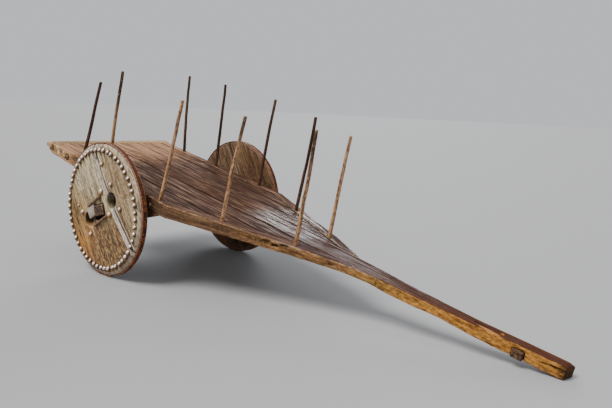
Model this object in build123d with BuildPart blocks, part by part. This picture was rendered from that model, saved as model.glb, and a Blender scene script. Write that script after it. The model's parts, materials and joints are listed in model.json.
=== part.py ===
from build123d import *
from math import asin, atan2, cos, degrees, hypot, radians, sin
import os

# A two-wheeled timber ox cart with solid plank wheels, parked with the tip of its pole on the ground.
# World frame: +X forwards to the pole tip, +Y to the cart's left, +Z up, millimetres.
# Bed frame: s forwards along the bed from the axle, y to the left, z square to the bed from the axle.

# Wheel
wheel_diameter = 1100
wheel_clearance = 40
tyre_thickness = 10
tyre_width = 46
rim_thickness = 50
hub_bulge = 28
hub_flat_radius = 235
rim_flat_width = 84
rim_bevel = 25
rim_rise = 17
plank_lean = 31
seam_upper = 173
seam_middle = 190
seam_lower = 268
seam_gap = 0.5
eye_offset = 190
eye_radius = 62
wood_fit = 0.3

# Rim studs
stud_count = 54
stud_radius = 20
stud_top_radius = 11
stud_height = 15

# Axle
tenon_width = 130
tenon_height = 92
tenon_turn = -16
tenon_reach = 45
mortise_slack_below = 28
wedge_thickness = 26
wedge_width = 78
wedge_head_near = 46
wedge_head_length = 112
wedge_head_width = 92
wedge_head_rise = 30
axle_side = 150
axle_arris = 34
journal_diameter = 110
journal_length = 130
shoulder_width = 24
shoulder_diameter = 166

# Hub staples, the iron dogs beside the tenon
staple_length = 205
staple_bar = 18
staple_standoff = 22
staple_offset = 88
staple_shift = -24

# Bed and side beams
bed_top = 253
bed_half_width = 642
tail_half_width = 672
beam_width = 85
beam_tail = -1180
beam_knee = 650
beam_shoulder_s = 1620
beam_shoulder_y = 265
beam_nose_right = 2260
beam_nose_left = 1960
inner_meet_s = 1760
depth_at_bearing = 112
depth_at_tail = 100
tail_face = 81
tail_cut = 70

# Pole
pole_tail = -1100
pole_tip = 3530
pole_depth_bed = 110
pole_depth_tip = 84
tip_bevel = 14

# Floor of the bed
plank_thickness = 30
plank_drop = 4
planks_each_side = 3
plank_gap = 3
rear_beam_depth = 92
rear_lap = 45

# Bearings
bearing_clearance = 0.5
block_rear = -230
block_front = 570
block_underside = 34
block_rear_slope = 60
block_front_slope = 223
peg_gap = 7
peg_thickness = 52
peg_drop = 150
peg_taper = 12

# Stakes and yoke pin
socket_web = 22
socket_fit = 0.3
stake_radius = 17
stake_top_radius = 14
stake_sides = 10
yoke_bore_s = 3120
yoke_bore_radius = 16
yoke_slot_s = 3254
yoke_slot_length = 74
yoke_slot_height = 58
yoke_peg_reach = 18

# Pole plan: s, centre line y, half width
pole_plan = [
    (pole_tail, 0, 108),
    (1500, 0, 108),
    (2150, -13, 90),
    (2400, -21, 72),
    (2550, -24, 67),
    (2750, -20, 57),
    (2950, -18, 54),
    (3250, 4, 50),
    (pole_tip, 16, 50),
]

# Underside of the pole: s, depth under the bed's top
pole_underside = [
    (pole_tail, pole_depth_bed),
    (beam_knee, pole_depth_bed),
    (1500, 96),
    (1900, 68),
    (2200, 66),
    (2350, 76),
    (2500, 74),
    (2725, 67),
    (2950, 78),
    (3100, pole_depth_tip),
    (pole_tip, pole_depth_tip),
]

# Underside of the side beams: s, depth under the bed's top
beam_underside = [
    (beam_tail, tail_face),
    (beam_tail + tail_cut, depth_at_tail),
    (-750, depth_at_bearing),
    (block_front, depth_at_bearing),
    (700, 103),
    (900, 98),
    (1200, 87),
    (1600, 76),
    (1930, 62),
    (beam_nose_right, 61),
]

# Outer edge of each side beam by side (-1 right, 1 left): s, half width
beam_edge = {
    -1: [
        (beam_tail, tail_half_width),
        (-700, bed_half_width),
        (beam_knee, bed_half_width),
        (beam_shoulder_s, beam_shoulder_y),
        (2060, 138),
        (beam_nose_right, 108),
    ],
    1: [
        (beam_tail, tail_half_width),
        (-700, bed_half_width),
        (beam_knee, bed_half_width),
        (beam_shoulder_s, beam_shoulder_y),
        (beam_nose_left, 100),
    ],
}

# Cross bearers: name, s of the middle, width, height, reach of the tenons beyond the floor
bearer_table = [
    ("cross_bearer_1", -845, 56, 44, 96),
    ("cross_bearer_2", 0, 70, 50, 35),
    ("cross_bearer_3", 720, 70, 50, 35),
    ("cross_bearer_4", 1300, 70, 38, 35),
]

# Stakes: name, side (-1 right, 1 left), s, inset from the outer edge, length above the bed,
# lean forwards in degrees, lean outwards in degrees, bow at mid length
stake_table = [
    ("stake_right_1", -1, -640, 42, 716, 11.9, 0.0, 7),
    ("stake_right_2", -1, -235, 42, 855, 2.9, 0.0, -6),
    ("stake_right_3", -1, 516, 40, 807, 6.5, 0.0, 9),
    ("stake_right_4", -1, 1043, 66, 810, 3.6, 0.0, -9),
    ("stake_right_5", -1, 1612, 49, 842, -1.7, 0.0, 8),
    ("stake_left_1", 1, -750, 42, 775, -6.8, 0.0, -8),
    ("stake_left_2", 1, -235, 42, 803, -3.9, 0.0, 7),
    ("stake_left_3", 1, 390, 42, 814, 0.4, 0.0, -6),
    ("stake_left_4", 1, 1035, 74, 810, 0.6, 0.0, 8),
    ("stake_left_5", 1, 1580, 66, 793, -0.8, 0.0, -6),
]

wheel_radius = wheel_diameter / 2
half_track = bed_half_width + wheel_clearance + hub_bulge + rim_thickness
wood_radius = wheel_radius - tyre_thickness - wood_fit
hub_face = half_track + hub_bulge
hub_inner = half_track - rim_thickness - hub_bulge

# The bed tilts until the underside of the pole tip is level with the bottom of the wheels.
tip_sole = bed_top - pole_depth_tip
tilt = asin(wheel_radius / hypot(tip_sole, pole_tip)) + atan2(tip_sole, pole_tip)
reach_front = pole_tip * cos(tilt) + (bed_top - tip_bevel) * sin(tilt)
reach_rear = beam_tail * cos(tilt) + (bed_top - tail_face) * sin(tilt)
axle_x = -(reach_front + reach_rear) / 2

along = Vector(cos(tilt), 0, -sin(tilt))
square = Vector(sin(tilt), 0, cos(tilt))
axle_centre = Vector(axle_x, 0, wheel_radius)
bed = Plane(origin=axle_centre, x_dir=along, z_dir=square)
side_view = Plane(origin=axle_centre, x_dir=along, z_dir=(0, -1, 0))

lean = radians(plank_lean)
outward = Vector(0, -1, 0)
wheel_x = Vector(cos(lean), 0, sin(lean))
wheel_origin = Vector(axle_x, -half_track, wheel_radius)
wheel_plane = Plane(origin=wheel_origin, x_dir=wheel_x, z_dir=outward)
wheel_section = Plane(origin=wheel_origin, x_dir=wheel_x, z_dir=wheel_x.cross(outward))
wheel_axis = Axis(wheel_origin, outward)
tenon_lean = lean + radians(tenon_turn)
tenon_plane = Plane(origin=wheel_origin, x_dir=(cos(tenon_lean), 0, sin(tenon_lean)), z_dir=outward)

os.makedirs("parts", exist_ok=True)


def save(name, builder):
    builder.part.label = name
    export_step(builder.part, f"parts/{name}.step")


# Inner line of the side beams, half width of the floor at its two ends
inner_knee = beam_knee - beam_width / 2
floor_half = bed_half_width - beam_width
pole_half_bed = pole_plan[0][2]


def floor_outline(extra):
    """Plan of the floor between the side beams, widened by extra into them."""
    return [
        (beam_tail, -floor_half - extra),
        (inner_knee, -floor_half - extra),
        (inner_meet_s, -pole_half_bed - extra),
        (inner_meet_s, pole_half_bed + extra),
        (inner_knee, floor_half + extra),
        (beam_tail, floor_half + extra),
    ]


def between(table, s):
    """Value at distance s, straight between the rows (s, value) of a table."""
    for (s0, value0), (s1, value1) in zip(table, table[1:]):
        if s <= s1:
            return value0 + (value1 - value0) * (s - s0) / (s1 - s0)
    return table[-1][1]


# Yoke bore on the pole's crooked centre line, through its thinning front part
yoke_bore_y = between([(s, centre) for s, centre, half in pole_plan], yoke_bore_s)
bore_depth = between(pole_underside, yoke_bore_s)


def underside(table):
    """Points of an underside in the side view, from the front end to the tail."""
    return [(s, bed_top - depth) for s, depth in reversed(table)]



# Cross bearers, one timber each, tenoned through the pole and into both side beams
bearers = {}
for name, bearer_s, bearer_width, bearer_height, bearer_tenon in bearer_table:
    with BuildPart() as bearer:
        with BuildSketch(bed.offset(bed_top - plank_drop - plank_thickness)):
            with BuildLine():
                Polyline(*floor_outline(bearer_tenon), close=True)
            make_face()
            with Locations((bearer_s, 0)):
                Rectangle(bearer_width, 4 * bed_half_width, mode=Mode.INTERSECT)
        extrude(amount=-bearer_height)
    bearers[name] = bearer
    save(name, bearer)

# Rear crossbeam between the side beams, its ends lapped over their tails
with BuildPart() as rear_crossbeam:
    with BuildSketch(bed.offset(bed_top)):
        with Locations(((beam_tail + pole_tail) / 2, 0)):
            Rectangle(pole_tail - beam_tail, 2 * floor_half)
    extrude(amount=-rear_beam_depth)
    with BuildSketch(bed.offset(bed_top)):
        with Locations(((beam_tail + pole_tail) / 2, 0)):
            Rectangle(pole_tail - beam_tail, 2 * tail_half_width)
    extrude(amount=-rear_lap)
save("rear_crossbeam", rear_crossbeam)

# Draw pole, plan and side profile cut from one crooked timber
with BuildPart() as draft_pole:
    with BuildSketch(bed.offset(bed_top)):
        with BuildLine():
            right_edge = [(s, centre - half) for s, centre, half in pole_plan]
            left_edge = [(s, centre + half) for s, centre, half in reversed(pole_plan)]
            Polyline(*right_edge, *left_edge, close=True)
        make_face()
    extrude(amount=-pole_depth_bed)
    with BuildSketch(side_view):
        with BuildLine():
            Polyline(
                (pole_tail, bed_top),
                (pole_tip - 2 * tip_bevel, bed_top),
                (pole_tip, bed_top - tip_bevel),
                *underside(pole_underside),
                close=True,
            )
        make_face()
    extrude(amount=bed_half_width, both=True, mode=Mode.INTERSECT)
    for bearer in bearers.values():
        add(bearer.part, mode=Mode.SUBTRACT)
    with BuildSketch(bed.offset(bed_top)):
        with Locations((yoke_bore_s, yoke_bore_y)):
            Circle(yoke_bore_radius)
    extrude(amount=-pole_depth_bed, mode=Mode.SUBTRACT)
    with BuildSketch(side_view):
        with Locations((yoke_slot_s, bed_top - pole_depth_tip)):
            Rectangle(yoke_slot_length, 2 * yoke_slot_height)
    extrude(amount=bed_half_width, both=True, mode=Mode.SUBTRACT)
save("draft_pole", draft_pole)

# Yoke peg lying across the pole in its notch
with BuildPart() as yoke_peg:
    with BuildSketch(side_view):
        with Locations((yoke_slot_s, bed_top - pole_depth_tip + yoke_slot_height / 2)):
            Rectangle(yoke_slot_length, yoke_slot_height)
    extrude(amount=pole_plan[-2][2] + yoke_peg_reach, both=True)
save("yoke_peg", yoke_peg)


def socket_depth(s):
    """Depth of a stake's socket, which leaves a web of the side beam under it."""
    return between(beam_underside, s) - socket_web


def stake_plane(side, s, inset, lean_forward, lean_out):
    """Plane at the foot of a stake, on the bed's top, with its axis up the stake."""
    foot_y = side * (between(beam_edge[side], s) - inset)
    foot = axle_centre + along * s + Vector(0, foot_y, 0) + square * bed_top
    up = square + along * sin(radians(lean_forward)) + Vector(0, side * sin(radians(lean_out)), 0)
    return Plane(origin=foot, x_dir=along, z_dir=up)


# Side beams, straight along the load and then drawn in to the pole
for side, side_name in [(-1, "right"), (1, "left")]:
    nose_s = beam_edge[side][-1][0]
    with BuildPart() as side_beam:
        with BuildSketch(bed.offset(bed_top)):
            with BuildLine():
                Polyline(
                    *[(s, side * half) for s, half in beam_edge[side]],
                    (nose_s, 0),
                    (inner_meet_s, 0),
                    (inner_meet_s, side * pole_half_bed),
                    (inner_knee, side * floor_half),
                    (beam_tail, side * floor_half),
                    close=True,
                )
            make_face()
        extrude(amount=-depth_at_bearing)
        with BuildSketch(side_view):
            with BuildLine():
                Polyline(
                    (beam_tail, bed_top),
                    (beam_nose_right, bed_top),
                    *underside(beam_underside),
                    close=True,
                )
            make_face()
        extrude(amount=bed_half_width, both=True, mode=Mode.INTERSECT)
        add(draft_pole.part, mode=Mode.SUBTRACT)
        add(rear_crossbeam.part, mode=Mode.SUBTRACT)
        for bearer in bearers.values():
            add(bearer.part, mode=Mode.SUBTRACT)
        for name, stake_side, s, inset, length, lean_forward, lean_out, bow in stake_table:
            if stake_side == side:
                with BuildSketch(stake_plane(side, s, inset, lean_forward, lean_out).offset(stake_radius)):
                    RegularPolygon(stake_radius + socket_fit, stake_sides)
                extrude(amount=-socket_depth(s) - stake_radius, mode=Mode.SUBTRACT)
    save(f"side_beam_{side_name}", side_beam)

# Stakes, rough round poles standing in sockets in the side beams
for name, side, s, inset, length, lean_forward, lean_out, bow in stake_table:
    foot = stake_plane(side, s, inset, lean_forward, lean_out)
    with BuildPart() as stake:
        with BuildSketch(foot.offset(-socket_depth(s) + wood_fit)):
            RegularPolygon(stake_radius, stake_sides)
        with BuildSketch(foot):
            RegularPolygon(stake_radius, stake_sides)
        with BuildSketch(foot.offset(length / 2)):
            with Locations((bow, 0)):
                RegularPolygon((stake_radius + stake_top_radius) / 2, stake_sides)
        with BuildSketch(foot.offset(length)):
            RegularPolygon(stake_top_radius, stake_sides)
        loft(ruled=True)
    save(name, stake)

# Floor planks lying on the bearers, along the bed on each side of the pole
plank_length = inner_meet_s - pole_tail
plank_width = (floor_half - pole_half_bed - plank_gap * planks_each_side) / planks_each_side
for side, side_name in [(-1, "right"), (1, "left")]:
    for number in range(planks_each_side):
        plank_y = pole_half_bed + plank_gap + number * (plank_width + plank_gap) + plank_width / 2
        with BuildPart() as deck_plank:
            with BuildSketch(bed.offset(bed_top - plank_drop)):
                with BuildLine():
                    Polyline(*floor_outline(0), close=True)
                make_face()
                with Locations((pole_tail + plank_length / 2, side * plank_y)):
                    Rectangle(plank_length, plank_width, mode=Mode.INTERSECT)
            extrude(amount=-plank_thickness)
        save(f"deck_plank_{side_name}_{number + 1}", deck_plank)

# Bearing blocks under the side beams, notched over the axle, and the pegs before and behind it
journal_radius = journal_diameter / 2
block_top = bed_top - depth_at_bearing
for side, side_name in [(-1, "right"), (1, "left")]:
    beam_plane = side_view.offset(-side * (bed_half_width - beam_width / 2))
    with BuildPart() as bearing_block:
        with BuildSketch(beam_plane):
            with BuildLine():
                Polyline(
                    (block_rear, block_top),
                    (block_front, block_top),
                    (block_front - block_front_slope, block_underside),
                    (block_rear + block_rear_slope, block_underside),
                    close=True,
                )
            make_face()
            Circle(journal_radius + bearing_clearance, mode=Mode.SUBTRACT)
        extrude(amount=beam_width / 2, both=True)
    save(f"bearing_block_{side_name}", bearing_block)
    for facing, facing_name in [(1, "front"), (-1, "rear")]:
        with BuildPart() as axle_peg:
            with BuildSketch(beam_plane):
                with BuildLine():
                    near = facing * (journal_radius + peg_gap)
                    far = near + facing * peg_thickness
                    Polyline(
                        (near, block_underside),
                        (far, block_underside),
                        (far - facing * peg_taper, -peg_drop),
                        (near, -peg_drop),
                        close=True,
                    )
                make_face()
            extrude(amount=beam_width / 2, both=True)
        save(f"axle_peg_{facing_name}_{side_name}", axle_peg)

# Axle: hewn beam, turned journals and shoulders, flat tenons a little out of line with the wheel planks
bearing_middle = bed_half_width - beam_width / 2
journal_inner = bearing_middle - journal_length / 2
axle_plane = Plane(origin=axle_centre, x_dir=wheel_x, z_dir=outward)
with BuildPart() as axle:
    with BuildSketch(axle_plane):
        square_face = Rectangle(axle_side, axle_side)
        chamfer(square_face.vertices(), length=axle_arris)
    extrude(amount=journal_inner, both=True)
    with BuildSketch(axle_plane):
        Circle(journal_radius)
    extrude(amount=hub_inner - wood_fit, both=True)
    for end in (1, -1):
        with BuildSketch(axle_plane.offset(end * (hub_inner - wood_fit))):
            Circle(shoulder_diameter / 2)
        extrude(amount=-end * shoulder_width)
        with BuildSketch(axle_plane.offset(end * (hub_inner - wood_fit))):
            Rectangle(tenon_width, tenon_height, rotation=tenon_turn)
        extrude(amount=end * (half_track + tenon_reach - hub_inner + wood_fit))
save("axle", axle)


def seam(sign, shift):
    """Three points of the curved joint on one side of the middle plank, moved out by shift."""
    return [
        (sign * (seam_upper + shift), sign * wheel_radius),
        (sign * (seam_middle + shift), 0),
        (sign * (seam_lower + shift), -sign * wheel_radius),
    ]


# Wooden disc of the wheel with its eyes and hub mortise, before it is parted at the seams
rim_inner = wood_radius - rim_flat_width
rim_outer = wood_radius - rim_bevel
stud_circle_radius = (rim_inner + rim_outer) / 2
mortise_half_width = tenon_width / 2 + wood_fit
mortise_half_height = tenon_height / 2 + wood_fit
mortise_rear = -mortise_half_width - wedge_thickness
mortise_bottom = -mortise_half_height - mortise_slack_below
with BuildPart() as disc:
    with BuildSketch(wheel_section):
        with BuildLine():
            Polyline(
                (0, hub_bulge),
                (hub_flat_radius, hub_bulge),
                (rim_inner, rim_rise),
                (rim_outer, rim_rise),
                (wood_radius, 0),
                (wood_radius, -rim_thickness),
                (hub_flat_radius, -rim_thickness - hub_bulge),
                (0, -rim_thickness - hub_bulge),
                close=True,
            )
        make_face()
    revolve(axis=wheel_axis)
    with BuildSketch(wheel_plane):
        with Locations((eye_offset, 0), (-eye_offset, 0)):
            Circle(eye_radius)
    extrude(amount=half_track, both=True, mode=Mode.SUBTRACT)
    with BuildSketch(tenon_plane):
        with BuildLine():
            Polyline(
                (mortise_rear, mortise_bottom),
                (mortise_half_width, mortise_bottom),
                (mortise_half_width, mortise_half_height),
                (mortise_rear, mortise_half_height),
                close=True,
            )
        make_face()
    extrude(amount=half_track, both=True, mode=Mode.SUBTRACT)

with BuildPart() as middle_plank:
    add(disc.part)
    with BuildSketch(wheel_plane):
        with BuildLine():
            front_low = ThreePointArc(*seam(1, 0))
            rear_low = ThreePointArc(*seam(-1, 0))
            Line(front_low @ 1, rear_low @ 0)
            Line(rear_low @ 1, front_low @ 0)
        make_face()
    extrude(amount=half_track, both=True, mode=Mode.INTERSECT)

segments = {}
for sign, segment_name in [(1, "front"), (-1, "rear")]:
    with BuildPart() as segment:
        add(disc.part)
        with BuildSketch(wheel_plane):
            with BuildLine():
                joint = ThreePointArc(*seam(sign, seam_gap))
                Polyline(
                    joint @ 1,
                    (sign * wheel_diameter, -sign * wheel_radius),
                    (sign * wheel_diameter, sign * wheel_radius),
                    joint @ 0,
                )
            make_face()
        extrude(amount=half_track, both=True, mode=Mode.INTERSECT)
    segments[segment_name] = segment

with BuildPart() as tyre:
    with BuildSketch(wheel_plane.offset(-(rim_thickness - tyre_width) / 2)):
        Circle(wheel_radius)
        Circle(wheel_radius - tyre_thickness, mode=Mode.SUBTRACT)
    extrude(amount=-tyre_width)

# Rim stud: two square frustums crossed at 45 degrees leave one with eight flat sides
stud_near = stud_radius - stud_top_radius
stud_far = stud_radius + stud_top_radius
stud_taper = (stud_near, stud_near, stud_far, stud_far)
with BuildPart() as stud:
    Wedge(2 * stud_radius, stud_height, 2 * stud_radius, *stud_taper)
    Wedge(2 * stud_radius, stud_height, 2 * stud_radius, *stud_taper, rotation=(0, 45, 0), mode=Mode.INTERSECT)
upright = Plane(origin=(0, 0, stud_height / 2), x_dir=(1, 0, 0), z_dir=(0, -1, 0))
stud_up = upright * stud.part

with BuildPart(wheel_plane.offset(rim_rise)) as rim_studs:
    with PolarLocations(stud_circle_radius, stud_count):
        add(stud_up)

# Wedge behind the tenon, its outer end spread into a broad head that lies over part of an eye
hub_top = wheel_plane.offset(hub_bulge + wood_fit)
with BuildPart() as hub_wedge:
    with BuildSketch(hub_top):
        with Locations((-wedge_head_near - wedge_head_length / 2, wedge_head_rise)):
            Rectangle(wedge_head_length, wedge_head_width)
        Rectangle(2 * mortise_half_width, 2 * mortise_half_height, rotation=tenon_turn, mode=Mode.SUBTRACT)
    extrude(amount=tenon_reach - hub_bulge - wood_fit)
    with BuildSketch(tenon_plane.offset(hub_bulge + wood_fit)):
        with Locations((mortise_rear + wedge_thickness / 2, 0)):
            Rectangle(wedge_thickness, wedge_width)
    extrude(amount=-rim_thickness - 2 * hub_bulge - wood_fit)
# Iron dogs, one each side of the tenon, their legs ending on the hub face
with BuildPart() as hub_staples:
    for offset_sign in (1, -1):
        staple_plane = wheel_section.offset(-offset_sign * staple_offset)
        with BuildSketch(staple_plane):
            with BuildLine():
                half = staple_length / 2
                top = hub_bulge + staple_standoff
                Polyline(
                    (staple_shift - half, hub_bulge),
                    (staple_shift - half, top),
                    (staple_shift + half, top),
                    (staple_shift + half, hub_bulge),
                    (staple_shift + half - staple_bar, hub_bulge),
                    (staple_shift + half - staple_bar, top - staple_bar),
                    (staple_shift - half + staple_bar, top - staple_bar),
                    (staple_shift - half + staple_bar, hub_bulge),
                    close=True,
                )
            make_face()
        extrude(amount=staple_bar / 2, both=True)

wheel_pieces = {
    "middle_plank": middle_plank,
    "front_segment": segments["front"],
    "rear_segment": segments["rear"],
    "tyre": tyre,
    "rim_studs": rim_studs,
    "hub_wedge": hub_wedge,
    "hub_staples": hub_staples,
}
for piece_name, piece in wheel_pieces.items():
    save(f"wheel_right_{piece_name}", piece)
    with BuildPart() as twin:
        mirror(piece.part, about=Plane.XZ)
    save(f"wheel_left_{piece_name}", twin)
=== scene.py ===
import json
import math

import bmesh
import bpy
import numpy as np
from mathutils import Matrix, Vector


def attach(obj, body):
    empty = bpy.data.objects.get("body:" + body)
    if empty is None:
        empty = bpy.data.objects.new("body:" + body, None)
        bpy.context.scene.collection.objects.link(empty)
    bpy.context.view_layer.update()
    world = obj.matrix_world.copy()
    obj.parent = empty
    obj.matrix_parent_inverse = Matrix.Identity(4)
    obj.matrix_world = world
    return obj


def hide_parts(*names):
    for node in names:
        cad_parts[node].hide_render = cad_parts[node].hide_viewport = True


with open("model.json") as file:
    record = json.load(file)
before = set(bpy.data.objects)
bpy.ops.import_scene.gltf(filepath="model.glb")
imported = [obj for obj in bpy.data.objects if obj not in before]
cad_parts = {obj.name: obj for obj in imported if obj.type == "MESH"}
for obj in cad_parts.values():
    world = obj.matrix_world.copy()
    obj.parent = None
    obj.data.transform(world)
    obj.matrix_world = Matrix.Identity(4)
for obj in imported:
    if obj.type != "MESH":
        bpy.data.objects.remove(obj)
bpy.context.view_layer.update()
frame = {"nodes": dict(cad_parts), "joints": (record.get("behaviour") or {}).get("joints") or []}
nodes = frame["nodes"]

SIDES = ("right", "left")

# Sizes repeated from the source, in metres
WHEEL_RADIUS = 0.55
TYRE_THICKNESS = 0.01
TYRE_WIDTH = 0.046
RIM_THICKNESS = 0.05
HUB_BULGE = 0.028
HUB_FLAT_RADIUS = 0.235
RIM_FLAT_WIDTH = 0.084
RIM_BEVEL = 0.025
RIM_RISE = 0.017
HALF_TRACK = 0.76
EYE_OFFSET = 0.19
EYE_RADIUS = 0.062
TENON_TURN = math.radians(-16)
PLANK_LEAN = math.radians(31)
SEAM_POINTS = ((0.173, 0.55), (0.19, 0.0), (0.268, -0.55))
STUD_COUNT = 54
BED_TOP = 0.253
PLANK_DROP = 0.004
POLE_TIP = 3.53
POLE_DEPTH_TIP = 0.084
WOOD_FIT = 0.0003
WOOD_RADIUS = WHEEL_RADIUS - TYRE_THICKNESS - WOOD_FIT

# Plans repeated from the source: outer and inner edges of the side beams, as (along the bed, across it)
BEAM_OUTER = {
    "right": ((-1.18, 0.672), (-0.7, 0.642), (0.65, 0.642), (1.62, 0.265), (2.06, 0.138), (2.26, 0.108)),
    "left": ((-1.18, 0.672), (-0.7, 0.642), (0.65, 0.642), (1.62, 0.265), (1.96, 0.1)),
}
BEAM_INNER = ((0.6075, 0.557), (1.76, 0.108))

# The pole's plan, as (along the bed, its middle across it, half its width)
POLE_PLAN = (
    (-1.1, 0.0, 0.108),
    (1.5, 0.0, 0.108),
    (2.15, -0.013, 0.09),
    (2.4, -0.021, 0.072),
    (2.55, -0.024, 0.067),
    (2.75, -0.02, 0.057),
    (2.95, -0.018, 0.054),
    (3.25, 0.004, 0.05),
    (3.53, 0.016, 0.05),
)
pole_s, pole_middle, pole_half = np.array(POLE_PLAN).T

# Frames: the bed's and the two wheels', all from the axle
axle = Vector(frame["joints"][0]["pos_m"])
tip_sole = BED_TOP - POLE_DEPTH_TIP
tilt = math.asin(WHEEL_RADIUS / math.hypot(tip_sole, POLE_TIP)) + math.atan2(tip_sole, POLE_TIP)
along = Vector((math.cos(tilt), 0, -math.sin(tilt)))
square = Vector((math.sin(tilt), 0, math.cos(tilt)))
left = Vector((0, 1, 0))
wheel_x = Vector((math.cos(PLANK_LEAN), 0, math.sin(PLANK_LEAN)))
wheel_y = Vector((-math.sin(PLANK_LEAN), 0, math.cos(PLANK_LEAN)))


def axes(x_axis, y_axis, z_axis, origin):
    """Matrix from a local frame to the shared one."""
    made = Matrix((x_axis, y_axis, z_axis)).transposed().to_4x4()
    made.translation = origin
    return made


BED = axes(along, left, square, axle)
# Timbers across the bed: x across, y backwards, z square to the bed
ACROSS = axes(left, -along, square, axle)
RIGHT_FLANK = axes(along, square, -left, axle)
WHEEL = {
    "right": axes(wheel_x, wheel_y, -left, axle - left * HALF_TRACK),
    "left": axes(wheel_x, wheel_y, left, axle + left * HALF_TRACK),
}

# Noise: primes that scatter its cells, the shift that keeps them positive, and one that parts the seeds
CELL_PRIMES = (73856093, 19349663, 83492791)
SCATTER_PRIME = 1274126177
NOISE_TOP = 0xFFFF
NOISE_SHIFT = 500.0
SEED_SHIFT = 17.31


def value_noise(points, scale, seed):
    """Smooth noise from -1 to 1 at each point, scale cells per metre along each axis."""
    p = points * np.asarray(scale, float) + NOISE_SHIFT + seed * SEED_SHIFT
    cell = np.floor(p).astype(np.int64)
    part = p - cell
    part = part * part * (3 - 2 * part)
    total = np.zeros(len(p))
    for corner in range(8):
        step = np.array([(corner >> k) & 1 for k in range(3)])
        x, y, z = ((cell + step) * CELL_PRIMES).T
        h = x ^ y ^ z
        h = (h ^ (h >> 13)) * SCATTER_PRIME
        h = (h ^ (h >> 16)) & NOISE_TOP
        total += np.prod(np.where(step, part, 1 - part), axis=1) * h
    return total / (NOISE_TOP / 2) - 1


def layered_noise(points, seed, layers, start=0.0):
    """Sum of noises, each (strength, scale, seed shift)."""
    noises = (strength * value_noise(points, scale, seed + shift) for strength, scale, shift in layers)
    return sum(noises, start)


def smoothstep(value, low, high):
    t = np.clip((value - low) / (high - low), 0, 1)
    return t * t * (3 - 2 * t)


def between(value, rise, fall):
    """1 between two ramps, each (from, to), and 0 before and after them."""
    return smoothstep(value, *rise) * smoothstep(-value, -fall[1], -fall[0])


def disc(a, b, centre, reach, core):
    """1 within core of a centre and 0 beyond reach, at the coordinates a and b."""
    away = np.hypot(a - centre[0], b - centre[1])
    return smoothstep(-away, -reach, -core)


def plan_at(plan, s):
    """Half width of a plan at distances along the bed."""
    return np.interp(s, *np.array(plan).T)


def read_vectors(data, name):
    out = np.empty(len(data) * 3, np.float32)
    data.foreach_get(name, out)
    return out.reshape(-1, 3).astype(float)


def vertices(mesh):
    return read_vectors(mesh.vertices, "co")


def put_vertices(mesh, co):
    mesh.vertices.foreach_set("co", np.ascontiguousarray(co, np.float32).ravel())
    mesh.update()


def put_attribute(mesh, name, values):
    """Keeps a number or a vector for each point of a mesh."""
    kind, field = ("FLOAT_VECTOR", "vector") if np.ndim(values) == 2 else ("FLOAT", "value")
    made = mesh.attributes.new(name, kind, "POINT")
    made.data.foreach_set(field, np.ascontiguousarray(values, np.float32).ravel())


def to_frame(mesh, matrix):
    """Moves a mesh by a matrix and keeps its faces outside out."""
    mesh.transform(matrix)
    if matrix.is_negative:
        mesh.flip_normals()


def baked(piece):
    """A piece's mesh with its modifiers applied."""
    bpy.context.view_layer.update()
    deps = bpy.context.evaluated_depsgraph_get()
    return bpy.data.meshes.new_from_object(piece.evaluated_get(deps), depsgraph=deps)


def link(name, mesh):
    piece = bpy.data.objects.new(name, mesh)
    bpy.context.scene.collection.objects.link(piece)
    return piece


def finish_piece(piece, material, body, replaced=()):
    piece.data.materials.clear()
    piece.data.materials.append(material)
    piece.data.polygons.foreach_set("use_smooth", [True] * len(piece.data.polygons))
    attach(piece, body)
    if replaced:
        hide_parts(*replaced)
    return piece


# Smoothing steps between the firm mesh and the one that shows which points lie on an arris
ROUNDING_STEPS = 12
# How far a point moves in those steps on a fully worn arris
FULL_ARRIS = 0.004
# Shift of the grain pattern from one seed to the next
GRAIN_SHIFT = (0.37, 0.73, 1.19)
# Noise layers: strength, cells per metre along and across the fibres, seed shift
CHIP_LAYERS = ((0.5, (9, 30, 30), 0), (0.35, (28, 60, 60), 3))
UNEVEN_LAYERS = ((0.6, (2.5, 9, 9), 5), (0.4, (7, 26, 26), 7))
FURROW_LAYERS = ((0.65, (1.6, 30, 0), 15), (0.35, (4, 62, 0), 17))
RAGGED_LAYERS = ((0.35, (30, 80, 80), 11),)


def remeshed(piece, voxel, soft):
    """A piece's mesh in even faces, and the points of the same mesh rounded further."""
    remesh = piece.modifiers.new("remesh", "REMESH")
    remesh.mode = "VOXEL"
    remesh.voxel_size = voxel
    smooth = piece.modifiers.new("smooth", "SMOOTH")
    smooth.factor = 0.5
    smooth.iterations = soft
    firm = baked(piece)
    smooth.iterations = soft + ROUNDING_STEPS
    rounded = vertices(baked(piece))
    piece.modifiers.clear()
    return firm, rounded


def groove(place, fibre, start, end, radius, seed):
    """1 in a ragged groove along a line and 0 beyond it, at each point."""
    start, end = np.array(start), np.array(end)
    run = end - start
    share = np.clip((place - start) @ run / (run @ run), 0, 1)
    away = np.linalg.norm(place - start - share[:, None] * run, axis=1)
    ragged = radius * layered_noise(fibre, seed, RAGGED_LAYERS, 1)
    return smoothstep(-away, -ragged, -ragged * 0.4)


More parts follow.
